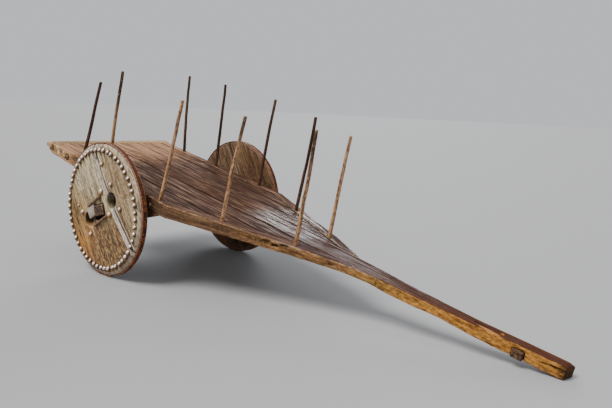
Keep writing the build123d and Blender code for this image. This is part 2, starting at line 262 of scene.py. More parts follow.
def weather(node, matrix, material, body, voxel=0.008, soft=3, wear=0.0025, swell=0.0012, grain=0,
            seed=0, cuts=(), furrow=0.0, bend=None, shape=None, dirt_and_shade=None, pale_and_glint=None):
    """A worn copy of a CAD timber, remeshed in its own frame, its arrises rounded and chipped and its
    faces made uneven along the fibres.

    voxel is the size of its faces, soft the smoothing steps, wear the depth of the chips, swell that of
    the unevenness and furrow that of the furrows that weather has worn in the top. grain is the local
    axis that the fibres follow, and bend straightens points along them. A cut is (start, end, radius,
    depth, black), a groove along a line. shape moves the points last. The next argument says how black
    each point is, from dirt and painted shade, and the last how pale, from broken wood and a painted
    highlight.
    """
    mesh = nodes[node].data.copy()
    to_frame(mesh, matrix.inverted())
    piece = link(node + "_worn", mesh)
    firm, rounded = remeshed(piece, voxel, soft)
    place = vertices(firm)
    out = read_vectors(firm.vertex_normals, "vector")
    convex = -np.sum((rounded - place) * out, axis=1)
    order = [grain] + [k for k in range(3) if k != grain]
    fibre = (bend(place) if bend else place)[:, order]
    black = dirt_and_shade(place) if dirt_and_shade else np.zeros(len(place))

    move = -swell * (1 + layered_noise(fibre, seed, UNEVEN_LAYERS))
    chips = np.clip(layered_noise(fibre, seed, CHIP_LAYERS, 0.5), 0, 1.3)
    move = move - wear * smoothstep(convex, 0.0006, 0.0045) * chips
    if furrow:
        worn_in = layered_noise(fibre, seed, FURROW_LAYERS)
        move = move + (swell - 0.5 * furrow * worn_in) * smoothstep(out[:, 2], 0.6, 0.95)
    for start, end, radius, depth, blackness in cuts:
        bite = groove(place, fibre, start, end, radius, seed)
        move = move - depth * bite
        black = np.maximum(black, blackness * bite)
    co = place + out * move[:, None]
    put_vertices(firm, shape(co) if shape else co)

    put_attribute(firm, "grain", fibre + seed * np.array(GRAIN_SHIFT))
    put_attribute(firm, "place", place)
    put_attribute(firm, "worn", np.clip(convex / FULL_ARRIS, -1, 1))
    if pale_and_glint:
        put_attribute(firm, "pale_and_glint", pale_and_glint(place))
    put_attribute(firm, "up", out[:, 2])
    put_attribute(firm, "dirt_and_shade", black)
    to_frame(firm, matrix)
    piece.data = firm
    return finish_piece(piece, material, body, (node,))


class Paint:
    """A material's node tree, with one short call for each node."""

    def __init__(self, name):
        self.material = bpy.data.materials.new(name)
        self.material.use_nodes = True
        self.tree = self.material.node_tree
        self.tree.nodes.clear()

    def node(self, kind, inputs=None, **settings):
        made = self.tree.nodes.new("ShaderNode" + kind)
        for key, value in settings.items():
            setattr(made, key, value)
        for key, value in (inputs or {}).items():
            if isinstance(value, bpy.types.NodeSocket):
                self.tree.links.new(value, made.inputs[key])
            else:
                made.inputs[key].default_value = value
        return made

    def attribute(self, name, output="Vector"):
        return self.node("Attribute", attribute_name=name).outputs[output]

    def math(self, operation, *values):
        return self.node("Math", dict(enumerate(values)), operation=operation).outputs[0]

    def product(self, a, b):
        return self.math("MULTIPLY", a, b)

    def total(self, first, *others):
        for value in others:
            first = self.math("ADD", first, value)
        return first

    def swing(self, noise, width):
        """A noise moved to lie about zero, width wide."""
        return self.product(self.math("SUBTRACT", noise, 0.5), width)

    def stretch(self, vector, scale):
        return self.node("VectorMath", {0: vector, 1: scale}, operation="MULTIPLY").outputs[0]

    def distance(self, place, centre, scale):
        """How far a place is from a centre, with each axis scaled."""
        off = self.node("VectorMath", {0: place, 1: centre}, operation="SUBTRACT").outputs[0]
        return self.node("VectorMath", {0: self.stretch(off, scale)}, operation="LENGTH").outputs["Value"]

    def noise(self, vector, scale=1.0, detail=3.0, rough=0.55, warp=0.0):
        inputs = {"Vector": vector, "Scale": scale, "Detail": detail, "Roughness": rough, "Distortion": warp}
        return self.node("TexNoise", inputs).outputs[0]

    def ramp(self, value, low, high, to_low=0.0, to_high=1.0):
        inputs = {0: value, 1: low, 2: high, 3: to_low, 4: to_high}
        return self.node("MapRange", inputs, interpolation_type="SMOOTHSTEP").outputs[0]

    def mix(self, factor, a, b, blend="MIX"):
        made = self.node("Mix", {0: factor, 6: a, 7: b}, data_type="RGBA", blend_type=blend)
        return made.outputs[2]

    def lay(self, colour, tint, value, low, high, strength=1.0):
        """The colour with a tint laid over it as value goes from low to high."""
        return self.mix(self.ramp(value, low, high, 0, strength), colour, tint)

    def zone(self, place, centre, reach, ragged, noise):
        """1 near centre and 0 beyond reach, an ellipsoid, with a ragged edge."""
        length = self.distance(place, centre, tuple(1 / r for r in reach))
        edge = self.math("MULTIPLY_ADD", noise, ragged, -ragged / 2)
        return self.ramp(self.total(length, edge), 1.15, 0.45)

    def finish(self, colour, rough, height, relief, metallic=0.0, specular=0.5):
        """The material, with a surface that relief raises by its height."""
        bump = self.node("Bump", {"Height": height, "Distance": relief, "Strength": 1.0}).outputs[0]
        shader = self.node("BsdfPrincipled", {"Base Color": colour, "Roughness": rough, "Normal": bump})
        shader.inputs["Metallic"].default_value = metallic
        shader.inputs["Specular IOR Level"].default_value = specular
        self.node("OutputMaterial", {"Surface": shader.outputs[0]})
        return self.material


def rgb(red, green, blue):
    """A colour as an eye sees it, 0 to 255, turned linear."""
    out = []
    for value in (red, green, blue):
        v = value / 255
        out.append(v / 12.92 if v <= 0.04045 else ((v + 0.055) / 1.055) ** 2.4)
    return (*out, 1.0)


def shade(colour):
    """A much darker tone of a colour."""
    return tuple(c * 0.3 for c in colour[:3]) + (1,)


# Pale of broken wood, also used for a painted highlight along the pole's far arris
PALE_BREAK_AND_GLINT = rgb(238, 214, 184)
# Width of the soft edges of a strip
STRIP_EDGE = 0.006
IRON_RELIEF = 0.0024


def timber(name, deep, middle, pale, worn, zones=(), strips=(), specks=(), tail=(), polish=(), top=None,
           painted_underside_shade=None, gloss=(0.55, 0.85), relief=0.0032, ridges=(6, 150, 150), cracks=0.5,
           crack_scale=(0.9, 17, 17), contrast=0.8, mottle=0.4, rub=(0.42, 0.95, 0.8), specular=0.3):
    """Weathered wood: broad tone, streaks and ridges along the fibres, drying cracks, worn arrises,
    darker hollows, and the dirt, painted shade and painted highlights that a piece carries.

    zones tint the ground: (centre, reach, colour, strength). strips are bands beside a circle in the
    face: (centre, radius, from, to, colour, strength). specks are zones of dark pits and pale flecks:
    (centre, reach, strength, colour). top is (colour, strength, streak colour) for faces that look up in
    the local frame, tail holds zones laid over it, and the painted underside shade is (tint, strength), a
    painted shade for faces that look down. gloss is the roughness, from and to, and polish holds zones
    with their own: (centre, reach, from, to). ridges is the scale of the ridges, and mottle the strength
    of blotches that don't follow the fibres. rub is (from, to, strength) of the wear on the arrises.
    """
    p = Paint(name)
    grain = p.attribute("grain")
    place = p.attribute("place")
    edge = p.attribute("worn", "Fac")
    up = p.attribute("up", "Fac")

    def fibres(scale, detail, rough=0.6, warp=0.0):
        return p.noise(p.stretch(grain, scale), detail=detail, rough=rough, warp=warp)

    broad = fibres((1.6, 9, 9), 4, warp=0.6)
    band = fibres((1.7, 26, 26), 4, warp=0.5)
    streak = fibres((3.2, 62, 62), 5, 0.62, 0.4)
    fine = fibres(ridges, 4, warp=0.3)
    spot = fibres((38, 60, 60), 5, 0.68)
    blotch = p.noise(place, scale=7, detail=5, rough=0.62)
    grit = p.noise(grain, scale=420, detail=2)

    # Ground
    colour = p.lay(middle, pale, broad, 0.38, 0.62)
    for centre, reach, tint, strength in zones:
        mask = p.product(p.zone(place, centre, reach, 0.9, blotch), strength)
        colour = p.mix(mask, colour, tint)
    for centre, radius, inner, outer, tint, strength in strips:
        away = p.math("SUBTRACT", p.distance(place, centre, (1, 1, 0)), radius)
        near = p.product(p.ramp(away, outer, outer - STRIP_EDGE), p.ramp(away, inner, inner + STRIP_EDGE))
        near = p.product(near, p.ramp(blotch, 0.3, 0.55, strength * 0.55, strength))
        colour = p.mix(near, colour, tint)
    plain = colour

    # Figure
    dark = shade(deep)
    shaded = p.mix(1.0, colour, deep, "MULTIPLY")
    colour = p.lay(colour, p.mix(0.45, shaded, deep), band, 0.48, 0.68, contrast * 0.75)
    colour = p.lay(colour, p.mix(0.4, shaded, deep), streak, 0.48, 0.66, contrast)
    colour = p.lay(colour, pale, band, 0.5, 0.3, contrast * 0.5)
    colour = p.lay(colour, worn, streak, 0.46, 0.3, contrast * 0.7)
    colour = p.lay(colour, deep, fine, 0.5, 0.68, contrast * 0.7)
    shaded = p.mix(1.0, colour, deep, "MULTIPLY")
    colour = p.lay(colour, p.mix(0.5, shaded, deep), spot, 0.5, 0.64, mottle)
    colour = p.lay(colour, worn, spot, 0.46, 0.34, mottle * 0.5)
    for centre, reach, strength, fleck in specks:
        where = p.zone(place, centre, reach, 0.9, blotch)
        pit = fibres((24, 66, 66), 4, 0.66)
        colour = p.mix(p.product(where, strength * 0.6), colour, plain)
        colour = p.mix(p.product(where, p.ramp(pit, 0.525, 0.6, 0, strength * 0.75)), colour, dark)
        colour = p.mix(p.product(where, p.ramp(pit, 0.465, 0.39, 0, strength * 0.8)), colour, fleck)

    # Drying cracks
    line = p.math("ABSOLUTE", p.math("SUBTRACT", fibres(crack_scale, 2.5, 0.5, 0.25), 0.5))
    cracked = p.ramp(fibres((1.1, 5, 5), 2, 0.55), 0.45, 0.6)
    crack = p.product(p.ramp(line, 0.014, 0.003), cracked)
    colour = p.mix(p.product(crack, min(1.0, cracks * 1.6)), colour, dark)

    # Top
    if top:
        top_colour, strength, top_streak = top
        facing = p.total(up, p.swing(band, 0.5))
        lined = p.lay(top_colour, shade(top_colour), streak, 0.5, 0.62)
        lined = p.lay(lined, top_streak, streak, 0.47, 0.36)
        colour = p.lay(colour, lined, facing, 0.45, 0.8, strength)
    for centre, reach, tint, strength in tail:
        streaked = p.ramp(streak, 0.64, 0.48, 0.25, strength)
        mask = p.product(p.zone(place, centre, reach, 1.1, blotch), streaked)
        colour = p.mix(p.product(mask, p.ramp(up, 0.4, 0.8)), colour, tint)

    # Wear, darker hollows, dirt, painted shade and painted highlights
    rubbed = p.total(edge, p.swing(streak, 1.1), p.swing(spot, 2.2))
    colour = p.lay(colour, worn, rubbed, *rub)
    colour = p.lay(colour, dark, edge, -0.12, -0.6, 0.85)
    colour = p.lay(colour, deep, grit, 0.42, 0.6, 0.2)
    # Painted shade: faces that look down in the piece's frame are darkened
    if painted_underside_shade:
        tint, strength = painted_underside_shade
        colour = p.mix(p.ramp(up, -0.2, -0.6, 0, strength), colour, tint, "MULTIPLY")
    # Pale broken wood, and a painted highlight along the pole's far arris
    colour = p.mix(p.attribute("pale_and_glint", "Fac"), colour, PALE_BREAK_AND_GLINT)
    # Black of dirt, cuts and joints, and painted shade in the wheels' eyes and round their hubs
    colour = p.mix(p.attribute("dirt_and_shade", "Fac"), colour, dark)

    # Surface
    height = p.total(p.product(fine, 0.9), p.product(spot, 0.5), p.product(streak, 0.9))
    height = p.total(height, p.product(grit, 0.12))
    height = p.math("SUBTRACT", height, p.product(crack, 1.5 * cracks))
    tone = p.total(p.product(streak, 0.6), p.product(blotch, 0.4))
    rough = p.ramp(tone, 0.4, 0.6, *gloss)
    for centre, reach, low, high in polish:
        mask = p.zone(place, centre, reach, 0.5, blotch)
        smooth = p.ramp(streak, 0.45, 0.57, low, high)
        rough = p.total(rough, p.product(mask, p.math("SUBTRACT", smooth, rough)))
    return p.finish(colour, rough, height, relief, specular=specular)


def iron(name, deep, middle, orange, bright, gloss=(0.42, 0.85), polish=0.6, metallic=0.35, speck_scale=120,
         speck_share=0.8):
    """Rusted forged iron: scaly brown rust, orange specks and rubbed metal on what stands proud. The
    attribute rust says where the rust is fresh, and another where painted shade darkens it."""
    p = Paint(name)
    place = p.attribute("place")
    edge = p.attribute("worn", "Fac")
    scale = p.noise(place, scale=26, detail=6, rough=0.65, warp=0.8)
    speck = p.noise(place, scale=speck_scale, detail=4, rough=0.6)
    pit = p.noise(place, scale=260, detail=3, rough=0.6)
    colour = p.lay(deep, middle, scale, 0.36, 0.62)
    colour = p.lay(colour, orange, speck, 0.55, 0.72, speck_share)
    colour = p.lay(colour, deep, speck, 0.45, 0.33, speck_share)
    colour = p.mix(p.attribute("rust", "Fac"), colour, orange)
    # Darker where the piece carries painted shade, such as the tyre's upper side
    colour = p.mix(p.attribute("dirt_and_shade", "Fac"), colour, p.mix(0.25, deep, middle))
    shine = p.ramp(p.total(edge, p.swing(speck, 0.9)), 0.25, 0.95, 0, polish)
    colour = p.mix(shine, colour, bright)
    colour = p.lay(colour, deep, pit, 0.58, 0.7, 0.4)
    rough = p.ramp(p.math("SUBTRACT", scale, p.product(shine, 0.5)), 0.1, 0.6, *gloss)
    height = p.total(p.product(pit, 0.5), p.product(scale, 1.2))
    return p.finish(colour, rough, height, IRON_RELIEF, metallic)


def seam_circle():
    """Centre and radius of the curved joint before the middle plank, in the wheel's frame."""
    (ax, ay), (bx, by), (cx, cy) = SEAM_POINTS
    d = 2 * (ax * (by - cy) + bx * (cy - ay) + cx * (ay - by))
    ux = ((ax**2 + ay**2) * (by - cy) + (bx**2 + by**2) * (cy - ay) + (cx**2 + cy**2) * (ay - by)) / d
    uy = ((ax**2 + ay**2) * (cx - bx) + (bx**2 + by**2) * (ax - cx) + (cx**2 + cy**2) * (bx - ax)) / d
    return (ux, uy, 0.0), math.hypot(ax - ux, ay - uy)


seam_centre, seam_radius = seam_circle()
# Painted highlight: the colour of pale bands along the front seam of each wheel
seam_painted_highlight = rgb(240, 226, 214)

# Wood of the wheels: grey and greenish above, honey brown behind and below, dark and pitted at the bottom
wheel_wood = timber(
    "wheel_wood",
    deep=rgb(74, 54, 32),
    middle=rgb(190, 165, 120),
    pale=rgb(212, 191, 148),
    worn=rgb(234, 216, 178),
    zones=(
        ((-0.12, 0.34, 0.0), (0.4, 0.3, 0.3), rgb(212, 196, 160), 0.85),
        ((-0.42, 0.02, 0.0), (0.36, 0.40, 0.3), rgb(152, 108, 46), 0.92),
        ((-0.30, -0.30, 0.0), (0.34, 0.34, 0.3), rgb(210, 140, 60), 0.92),
        ((-0.02, -0.34, 0.0), (0.4, 0.34, 0.3), rgb(100, 68, 38), 0.92),
        ((0.2, -0.33, 0.0), (0.16, 0.22, 0.3), rgb(110, 76, 46), 0.6),
        ((0.36, 0.02, 0.0), (0.2, 0.34, 0.3), rgb(140, 108, 78), 0.7),
    ),
    strips=(
        # Pale bands beside the front seam, a painted highlight, then a dark line
        (seam_centre, seam_radius, 0.0, 0.05, seam_painted_highlight, 1.0),
        (seam_centre, seam_radius, -0.029, -0.013, seam_painted_highlight, 0.8),
        (seam_centre, seam_radius, -0.044, -0.028, rgb(60, 42, 28), 0.8),
        ((0, 0, 0), 0.0, WOOD_RADIUS - 0.03, WOOD_RADIUS + 0.02, rgb(196, 180, 166), 0.7),
    ),
    specks=(
        ((-0.02, -0.34, 0.0), (0.36, 0.3, 0.3), 1.0, rgb(206, 164, 104)),
        ((-0.36, 0.1, 0.0), (0.16, 0.3, 0.3), 0.5, rgb(206, 170, 116)),
    ),
    # Painted shade on the inner faces of the wheels
    painted_underside_shade=(rgb(150, 124, 106), 0.95),
    cracks=0.6,
    relief=0.0024,
    mottle=0.6,
)
pale_wood = timber(
    "pale_wood",
    deep=rgb(92, 76, 64),
    middle=rgb(160, 143, 130),
    pale=rgb(182, 165, 152),
    worn=rgb(198, 184, 170),
    contrast=0.4,
)
tenon_wood = timber(
    "tenon_wood",
    deep=rgb(22, 13, 8),
    middle=rgb(66, 42, 26),
    pale=rgb(92, 66, 46),
    worn=rgb(150, 122, 98),
    relief=0.004,
    mottle=0.7,
)

# Top of the bed: tan at the tail, brown by the nose, and rubbed smooth between the middle and the nose
weathered_top = (rgb(70, 42, 27), 0.94, rgb(138, 104, 82))
tail_tan = ((-1.25, 0.0, BED_TOP), (0.82, 2.0, 0.5), rgb(180, 136, 102), 0.85)
nose_brown = ((1.95, 0.0, BED_TOP), (0.62, 0.5, 0.2), rgb(72, 47, 42), 0.8)
sheen = (
    ((1.32, 0.15, BED_TOP), (0.5, 0.4, 0.2), 0.11, 0.85),
    ((2.15, 0.05, BED_TOP), (0.72, 0.3, 0.2), 0.44, 0.97),
)
beam_wood = timber(
    "beam_wood",
    deep=rgb(46, 29, 17),
    middle=rgb(104, 74, 50),
    pale=rgb(130, 96, 66),
    worn=rgb(196, 154, 112),
    zones=(
        # Painted shade on the beams beside the wheels
        ((0.3, 0.0, 0.2), (0.5, 2.0, 0.5), rgb(66, 46, 34), 0.8),
        ((1.95, 0.0, 0.2), (0.8, 2.0, 0.5), rgb(136, 94, 50), 0.7),
        ((2.3, 0.0, 0.2), (0.3, 2.0, 0.5), rgb(158, 112, 44), 0.9),
        ((-1.0, 0.0, 0.2), (0.35, 2.0, 0.5), rgb(206, 160, 108), 0.95),
    ),
    specks=(((1.75, -0.25, 0.18), (0.75, 0.5, 0.3), 0.55, rgb(204, 150, 92)),),
    top=weathered_top,
    tail=(tail_tan, nose_brown),
    polish=sheen,
    gloss=(0.8, 1.0),
    contrast=0.6,
    rub=(0.34, 0.8, 0.9),
    specular=0.25,
)
pole_wood = timber(
    "pole_wood",
    deep=rgb(50, 34, 18),
    middle=rgb(124, 84, 42),
    pale=rgb(152, 112, 62),
    worn=rgb(206, 154, 90),
    zones=(
        ((2.3, 0.0, 0.14), (0.6, 0.4, 0.2), rgb(158, 116, 54), 0.8),
        ((3.1, 0.0, 0.14), (0.9, 0.4, 0.2), rgb(184, 122, 50), 0.9),
        ((3.55, 0.0, 0.2), (0.07, 0.4, 0.3), rgb(62, 36, 18), 0.85),
    ),
    specks=(((2.85, -0.05, 0.18), (0.9, 0.4, 0.3), 0.8, rgb(214, 156, 78)),),
    top=(rgb(66, 38, 25), 0.96, rgb(112, 80, 60)),
    tail=(
        tail_tan,
        nose_brown,
        ((3.1, 0.0, BED_TOP), (1.0, 0.4, 0.2), rgb(76, 36, 19), 0.85),
        ((3.05, -0.052, BED_TOP), (0.085, 0.016, 0.03), rgb(202, 140, 78), 1.0),
    ),
    polish=sheen,
    gloss=(0.8, 1.0),
    contrast=0.5,
    mottle=0.7,
    crack_scale=(1.6, 30, 30),
    rub=(0.6, 1.1, 0.8),
    specular=0.18,
)
floor_wood = timber(
    "floor_wood",
    deep=rgb(20, 11, 7),
    middle=rgb(62, 38, 26),
    pale=rgb(84, 57, 41),
    worn=rgb(136, 108, 92),
    top=weathered_top,
    tail=(tail_tan, nose_brown),
    polish=sheen,
    gloss=(0.8, 1.0),
    relief=0.008,
    ridges=(4, 90, 90),
    contrast=0.95,
    mottle=0.3,
    rub=(0.6, 1.2, 0.1),
    specular=0.25,
)
frame_wood = timber(
    "frame_wood",
    deep=rgb(30, 18, 10),
    middle=rgb(74, 50, 32),
    pale=rgb(98, 70, 48),
    worn=rgb(136, 104, 74),
)
tail_wood = timber(
    "tail_wood",
    deep=rgb(70, 46, 26),
    middle=rgb(164, 124, 80),
    pale=rgb(196, 158, 108),
    worn=rgb(218, 186, 144),
    specks=(((-0.66, 1.14, 0.2), (0.1, 0.3, 0.3), 0.9, rgb(232, 212, 178)),),
    contrast=0.6,
)
peg_wood = timber(
    "peg_wood",
    deep=rgb(24, 13, 8),
    middle=rgb(78, 50, 31),
    pale=rgb(104, 72, 46),
    worn=rgb(142, 106, 72),
    mottle=0.8,
)
stake_dark = timber(
    "stake_dark",
    deep=rgb(26, 15, 10),
    middle=rgb(74, 45, 30),
    pale=rgb(106, 70, 48),
    worn=rgb(150, 108, 80),
    relief=0.0024,
    mottle=0.5,
)


def peeled_wood(name, zones=()):
    """Light stick whose bark is left in zones."""
    return timber(
        name,
        deep=rgb(64, 38, 22),
        middle=rgb(158, 109, 68),
        pale=rgb(202, 154, 110),
        worn=rgb(232, 192, 150),
        zones=zones,
        relief=0.0024,
        mottle=0.8,
        contrast=0.65,
        crack_scale=(3, 40, 40),
    )


bark = rgb(62, 38, 26)
stake_tan = peeled_wood("stake_tan")
stake_capped = peeled_wood("stake_capped", (((0.95, 0, 0), (0.3, 1, 1), bark, 0.9),))
stake_half = peeled_wood("stake_half", (((1.0, 0, 0), (0.45, 1, 1), bark, 0.95),))

tyre_iron = iron(
    "tyre_iron",
    deep=rgb(32, 14, 8),
    middle=rgb(132, 68, 34),
    orange=rgb(222, 126, 54),
    bright=rgb(206, 150, 112),
    speck_scale=70,
    speck_share=0.95,
)
# Studs and face nails: the bright colour is rubbed metal and, where they face up, a painted highlight
stud_iron = iron(
    "stud_iron",
    deep=rgb(44, 29, 20),
    middle=rgb(118, 86, 60),
    orange=rgb(164, 112, 56),
    bright=rgb(246, 226, 218),
    gloss=(0.2, 0.45),
    polish=0.9,
    metallic=0.45,
    speck_share=0.5,
)
staple_iron = iron(
    "staple_iron",
    deep=rgb(58, 38, 26),
    middle=rgb(140, 102, 74),
    orange=rgb(168, 116, 70),
    bright=rgb(228, 200, 180),
    gloss=(0.3, 0.6),
    polish=0.8,
    metallic=0.2,
    speck_share=0.5,
)

# Painted shade in a wheel's face: its mortise, in the tenon's frame, and two hollows as (x, y, radius)
MORTISE_MIDDLE = (-0.013, -0.014)
MORTISE_HALF = (0.078, 0.060)
HUB_HOLLOWS = ((-0.1107, -0.0376, 0.03), (-0.06, -0.05, 0.024))


def hub_shade_and_seam(points):
    """Painted shade in the eyes, round the mortise and in the hollows, and the dark front seam."""
    x, y = points[:, 0], points[:, 1]
    # Painted shade in the eyes: the rear eye is dark in its upper part alone
    front_depth, rear_depth = 0.6, 0.85 * smoothstep(y, -0.045, 0.01)
    black = np.zeros(len(points))
    for eye_x, depth in ((EYE_OFFSET, front_depth), (-EYE_OFFSET, rear_depth)):
        eye = disc(x, y, (eye_x, 0.0), EYE_RADIUS + 0.009, EYE_RADIUS + 0.001)
        black = np.maximum(black, eye * depth)
    cos_turn, sin_turn = math.cos(TENON_TURN), math.sin(TENON_TURN)
    across = np.abs(x * cos_turn + y * sin_turn - MORTISE_MIDDLE[0]) - MORTISE_HALF[0]
    upward = np.abs(y * cos_turn - x * sin_turn - MORTISE_MIDDLE[1]) - MORTISE_HALF[1]
    black = np.maximum(black, smoothstep(-np.maximum(across, upward), -0.008, -0.001) * 0.95)
    for hollow_x, hollow_y, radius in HUB_HOLLOWS:
        black = np.maximum(black, disc(x, y, (hollow_x, hollow_y), radius, radius * 0.7) * 0.9)
    # The seam gapes towards the rim
    seam = np.abs(np.hypot(x - seam_centre[0], y - seam_centre[1]) - seam_radius)
    wide = 0.004 + 0.005 * smoothstep(y, 0.25, 0.4)
    return np.maximum(black, smoothstep(-seam, -wide - 0.004, -wide) * 0.85)


# Wheel planks, finer on the near side
for side, voxel, side_seed in (("right", 0.0075, 0), ("left", 0.010, 10)):
    for number, piece_name in enumerate(("middle_plank", "front_segment", "rear_segment")):
        weather(f"wheel_{side}_{piece_name}", WHEEL[side], wheel_wood, "wheelset",
                voxel=voxel, grain=1, seed=number + side_seed, swell=0.0008, wear=0.002, dirt_and_shade=hub_shade_and_seam)
    weather(f"wheel_{side}_hub_wedge", WHEEL[side], pale_wood, "wheelset",
            voxel=0.006, seed=4)
    weather(f"wheel_{side}_hub_staples", WHEEL[side], staple_iron, "wheelset",
            voxel=0.0032, soft=4, seed=5, swell=0.0003, wear=0.001)
weather("axle", ACROSS, tenon_wood, "wheelset", seed=21)


def beam_grain(side):
    """The beam's grain, which follows its outer edge."""

    def bend(points):
        out = points.copy()
        out[:, 1] = np.abs(points[:, 1]) - plan_at(BEAM_OUTER[side], points[:, 0])
        return out

    return bend


# Half width of the pole at which its grain is neither drawn together nor spread
GRAIN_HALF = 0.08


def pole_grain(points):
    """The pole's grain, which follows its crook and draws together where it thins."""
    out = points.copy()
    half = np.interp(points[:, 0], pole_s, pole_half)
    out[:, 1] = (points[:, 1] - np.interp(points[:, 0], pole_s, pole_middle)) * GRAIN_HALF / half
    return out


# Broken arris of the right beam, drying cracks in the beam and in the pole's flank
beam_cuts = (
    ((1.415, -0.346, 0.229), (1.455, -0.330, 0.231), 0.016, 0.008, 0.6),
    ((1.485, -0.319, 0.214), (1.515, -0.307, 0.218), 0.014, 0.010, 0.95),
    ((1.545, -0.296, 0.233), (1.585, -0.280, 0.237), 0.017, 0.009, 0.65),
    ((1.62, -0.266, 0.206), (1.72, -0.238, 0.209), 0.012, 0.004, 0.45),
    ((1.905, -0.183, 0.222), (1.935, -0.175, 0.222), 0.010, 0.008, 0.9),
    ((0.75, -0.606, 0.205), (1.15, -0.450, 0.2), 0.005, 0.004, 0.5),
    ((-1.15, -0.672, 0.17), (-0.92, -0.658, 0.175), 0.007, 0.006, 0.6),
    ((-0.928, -0.659, 0.241), (-0.9, -0.658, 0.243), 0.018, 0.008, 1.0),
    ((-0.885, -0.656, 0.222), (-0.868, -0.655, 0.198), 0.016, 0.009, 0.95),
)
pole_cuts = (
    ((3.40, -0.042, 0.216), (3.525, -0.036, 0.226), 0.008, 0.007, 0.95),
    ((2.62, -0.09, 0.222), (2.9, -0.075, 0.224), 0.005, 0.004, 0.6),
    ((2.95, -0.02, 0.253), (3.16, -0.012, 0.253), 0.006, 0.005, 0.8),
    ((3.30, 0.0, 0.253), (3.50, 0.01, 0.253), 0.005, 0.004, 0.7),
    ((2.3, 0.0, 0.253), (2.62, -0.01, 0.253), 0.006, 0.004, 0.7),
)
# Heights over which the arrises beside a joint turn dark
ARRIS_RISE = (0.235, 0.24)
# Pale breaks in the right beam's tail, as (along, height, radius), and the face they lie in
TAIL_BREAKS = ((-0.912, 0.222, 0.018), (-1.03, 0.236, 0.022), (-1.0, 0.2, 0.026))
TAIL_FLANK = -0.64


def joint_dirt(points, inside, top=BED_TOP):
    """Dirt in the joints between the deck's timbers, just below their top."""
    return 0.92 * inside * between(top - points[:, 2], (0.0004, 0.0028), (0.03, 0.042))


def plank_dirt(points):
    return joint_dirt(points, 1.0, BED_TOP - PLANK_DROP)


def beam_dirt(points):
    """Dirt in the joint at the beam's inner edge, and on the arris beside it."""
    s, across = points[:, 0], np.abs(points[:, 1])
    inner = plan_at(BEAM_INNER, s)
    outer = plan_at(BEAM_OUTER["right"], s)
    inside = smoothstep(inner + 0.016 - across, 0.0, 0.008) * smoothstep(outer - across, 0.014, 0.026)
    inside = inside * smoothstep(-s, -1.9, -1.8)
    arris = inside * smoothstep(inner + 0.006 - across, 0.0, 0.005) * smoothstep(points[:, 2], *ARRIS_RISE)
    return np.maximum(joint_dirt(points, inside), 0.6 * arris)


def beam_bare(points):
    """Pale wood of the right beam: broken at its tail, and faint along its split arris."""
    s, y, z = points.T
    pale = np.zeros(len(points))
    for break_s, break_z, radius in TAIL_BREAKS:
        pale = np.maximum(pale, disc(s, z, (break_s, break_z), radius, radius * 0.4))
    pale = 0.6 * pale * (y < TAIL_FLANK)
    arris = smoothstep(-y - plan_at(BEAM_OUTER["right"], s), -0.02, -0.012) * smoothstep(z, 0.232, 0.246)
    return np.maximum(pale, 0.12 * arris * between(s, (1.46, 1.52), (1.66, 1.72)))


def pole_dirt(points):
    """Dirt in the joints beside the pole, on the arrises there, and on its end."""
    s, y, z = points.T
    inside = smoothstep(-s, -1.98, -1.9)
    arris = inside * smoothstep(np.abs(y), 0.102, 0.106) * smoothstep(z, *ARRIS_RISE)
    dirt = np.maximum(joint_dirt(points, inside), 0.6 * arris)
    return np.maximum(dirt, 0.6 * smoothstep(s, 3.516, 3.527))


def pole_arris_wear_and_glint(points):
    """The pole's far arris towards the tip: worn pale, with a painted highlight along it."""
    s, y, z = points.T
    edge = np.interp(s, pole_s, pole_middle + pole_half)
    arris = smoothstep(y - edge, -0.014, -0.007) * smoothstep(z, 0.24, 0.246)
    return 0.85 * arris * between(s, (2.75, 2.95), (3.515, 3.525))


# How much longer the pole is on its left side
SKEW = 0.018


def pole_end(points):
    """The pole's end is cut askew, longer on its left side."""
    out = points.copy()
    s, y, z = points.T
    shift = SKEW * smoothstep(s, 3.42, POLE_TIP) * smoothstep(y, -0.03, 0.066)
    out[:, 0] += shift
    # The sole is lifted as it grows, so that it stays on the ground
    out[:, 2] += shift * math.tan(tilt) * smoothstep(-z, -0.235, -0.2)
    return out


# Frame: a row has the side's name, the beam's seed and cuts, and the seed before the first plank's
for side, beam_seed, cuts, plank_seed in (("right", 31, beam_cuts, 40), ("left", 37, (), 45)):
    weather(f"side_beam_{side}", BED, beam_wood, "frame", voxel=0.007, soft=2,
            seed=beam_seed, cuts=cuts, furrow=0.003, bend=beam_grain(side), dirt_and_shade=beam_dirt, pale_and_glint=beam_bare)
    for number in (1, 2, 3):
        weather(f"deck_plank_{side}_{number}", BED, floor_wood, "frame",
                seed=plank_seed + number, furrow=0.0045, dirt_and_shade=plank_dirt)
    weather(f"bearing_block_{side}", BED, frame_wood, "frame", voxel=0.009, seed=52)
    for facing in ("front", "rear"):
        weather(f"axle_peg_{facing}_{side}", BED, frame_wood, "frame", grain=2, seed=54)
weather("draft_pole", BED, pole_wood, "frame", voxel=0.0065, soft=2, swell=0.0006, seed=61,
        cuts=pole_cuts, furrow=0.003, bend=pole_grain, shape=pole_end, dirt_and_shade=pole_dirt, pale_and_glint=pole_arris_wear_and_glint)
weather("yoke_peg", ACROSS, peg_wood, "frame", voxel=0.005, seed=63)
weather("rear_crossbeam", ACROSS, tail_wood, "frame", voxel=0.009, seed=65)
for number in (1, 2, 3, 4):
    weather(f"cross_bearer_{number}", ACROSS, frame_wood, "frame", voxel=0.010,
            seed=66 + number)


